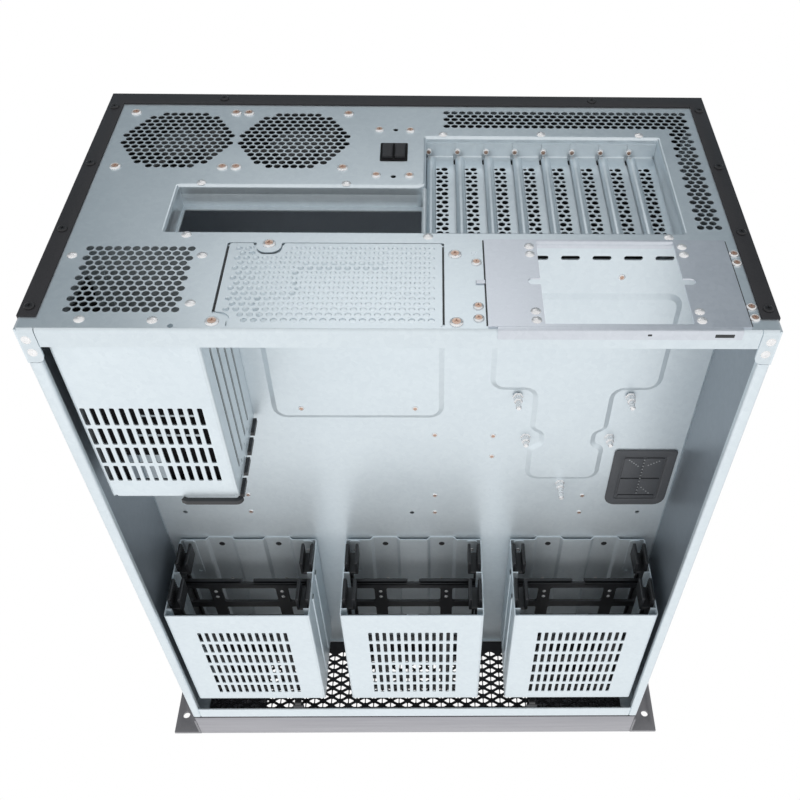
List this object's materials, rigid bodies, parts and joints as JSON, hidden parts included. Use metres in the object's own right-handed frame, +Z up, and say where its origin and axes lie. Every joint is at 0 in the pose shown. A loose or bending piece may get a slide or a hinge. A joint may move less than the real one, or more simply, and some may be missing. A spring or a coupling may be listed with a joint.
{
  "type": "rack-mount computer case",
  "caption": "Deep rack-mount computer case with a board chamber over a lower bay of drive cages, perforated rear panel, slot recess and rack ears, bottom cover off.",
  "frame": {"origin": "on the floor, at the middle of the overall box", "axes": "+Z up, -Y to the front with the rack ears, +Y to the rear panel, X across"},
  "size_m": [0.4826, 0.5138, 0.265],
  "materials": {
    "galvanised": "galvanised, fine spangle",
    "black_paint": "fine powder coat",
    "grey_paint": "satin",
    "ear_paint": "satin",
    "black_plastic": "fine texture",
    "button_plastic": "satin",
    "rubber": "matt",
    "screw_steel": "bright plating",
    "black_screw": "black plating",
    "brass": "turned"
  },
  "bodies": {
    "case": {"rear_panel": "galvanised", "slot_pan": "galvanised", "side_frame_left": "galvanised", "side_frame_right": "galvanised", "front_plate": "galvanised", "mid_tray": "galvanised", "drive_cage_left": "galvanised", "drive_cage_middle": "galvanised", "drive_cage_right": "galvanised", "rear_drive_cage": "galvanised", "psu_blank_plate": "galvanised", "psu_adapter_plate": "galvanised", "slot_cover_1": "galvanised", "slot_cover_2": "galvanised", "slot_cover_3": "galvanised", "slot_cover_4": "galvanised", "slot_cover_5": "galvanised", "slot_cover_6": "galvanised", "slot_cover_7": "galvanised", "slot_cover_8": "galvanised", "outer_cover": "black_paint", "front_mesh": "black_paint", "front_bezel": "grey_paint", "rack_ear_left": "ear_paint", "rack_ear_right": "ear_paint", "fan_frame_1": "black_plastic", "fan_frame_2": "black_plastic", "switch_housing": "black_plastic", "cable_grommet": "rubber", "slot_screws": "screw_steel", "psu_screws": "screw_steel", "adapter_rivets": "screw_steel", "fan_screws": "screw_steel", "tray_spacers": "screw_steel", "cover_screws": "black_screw", "board_spacers": "brass"},
    "fan_rotor_1": {"fan_rotor_1": "black_plastic"},
    "fan_rotor_2": {"fan_rotor_2": "black_plastic"},
    "power_button": {"power_button": "button_plastic"},
    "reset_button": {"reset_button": "button_plastic"},
    "drive_tray_left_lower": {"drive_tray_left_lower": "black_plastic"},
    "drive_tray_left_upper": {"drive_tray_left_upper": "black_plastic"},
    "drive_tray_middle_lower": {"drive_tray_middle_lower": "black_plastic"},
    "drive_tray_middle_upper": {"drive_tray_middle_upper": "black_plastic"},
    "drive_tray_right_lower": {"drive_tray_right_lower": "black_plastic"},
    "drive_tray_right_upper": {"drive_tray_right_upper": "black_plastic"}
  },
  "joints": [
    {"name": "fan_1_spin", "type": "hinge", "parent": "case", "child": "fan_rotor_1", "pos_m": [0.0786, 0.2404, 0.2034], "axis": [0, 1, 0], "continuous": true},
    {"name": "fan_2_spin", "type": "hinge", "parent": "case", "child": "fan_rotor_2", "pos_m": [0.1592, 0.2404, 0.2034], "axis": [0, 1, 0], "continuous": true},
    {"name": "tray_left_lower_slide", "type": "slide", "parent": "case", "child": "drive_tray_left_lower", "axis": [0, 1, 0], "range_m": [0, 0.13]},
    {"name": "tray_left_upper_slide", "type": "slide", "parent": "case", "child": "drive_tray_left_upper", "axis": [0, 1, 0], "range_m": [0, 0.13]},
    {"name": "tray_middle_lower_slide", "type": "slide", "parent": "case", "child": "drive_tray_middle_lower", "axis": [0, 1, 0], "range_m": [0, 0.13]},
    {"name": "tray_middle_upper_slide", "type": "slide", "parent": "case", "child": "drive_tray_middle_upper", "axis": [0, 1, 0], "range_m": [0, 0.13]},
    {"name": "tray_right_lower_slide", "type": "slide", "parent": "case", "child": "drive_tray_right_lower", "axis": [0, 1, 0], "range_m": [0, 0.13]},
    {"name": "tray_right_upper_slide", "type": "slide", "parent": "case", "child": "drive_tray_right_upper", "axis": [0, 1, 0], "range_m": [0, 0.13]},
    {"name": "power_button_press", "type": "slide", "parent": "case", "child": "power_button", "axis": [0, -1, 0], "range_m": [0, 0.002], "stiffness_N_per_m": 400},
    {"name": "reset_button_press", "type": "slide", "parent": "case", "child": "reset_button", "axis": [0, -1, 0], "range_m": [0, 0.002], "stiffness_N_per_m": 400}
  ]
}
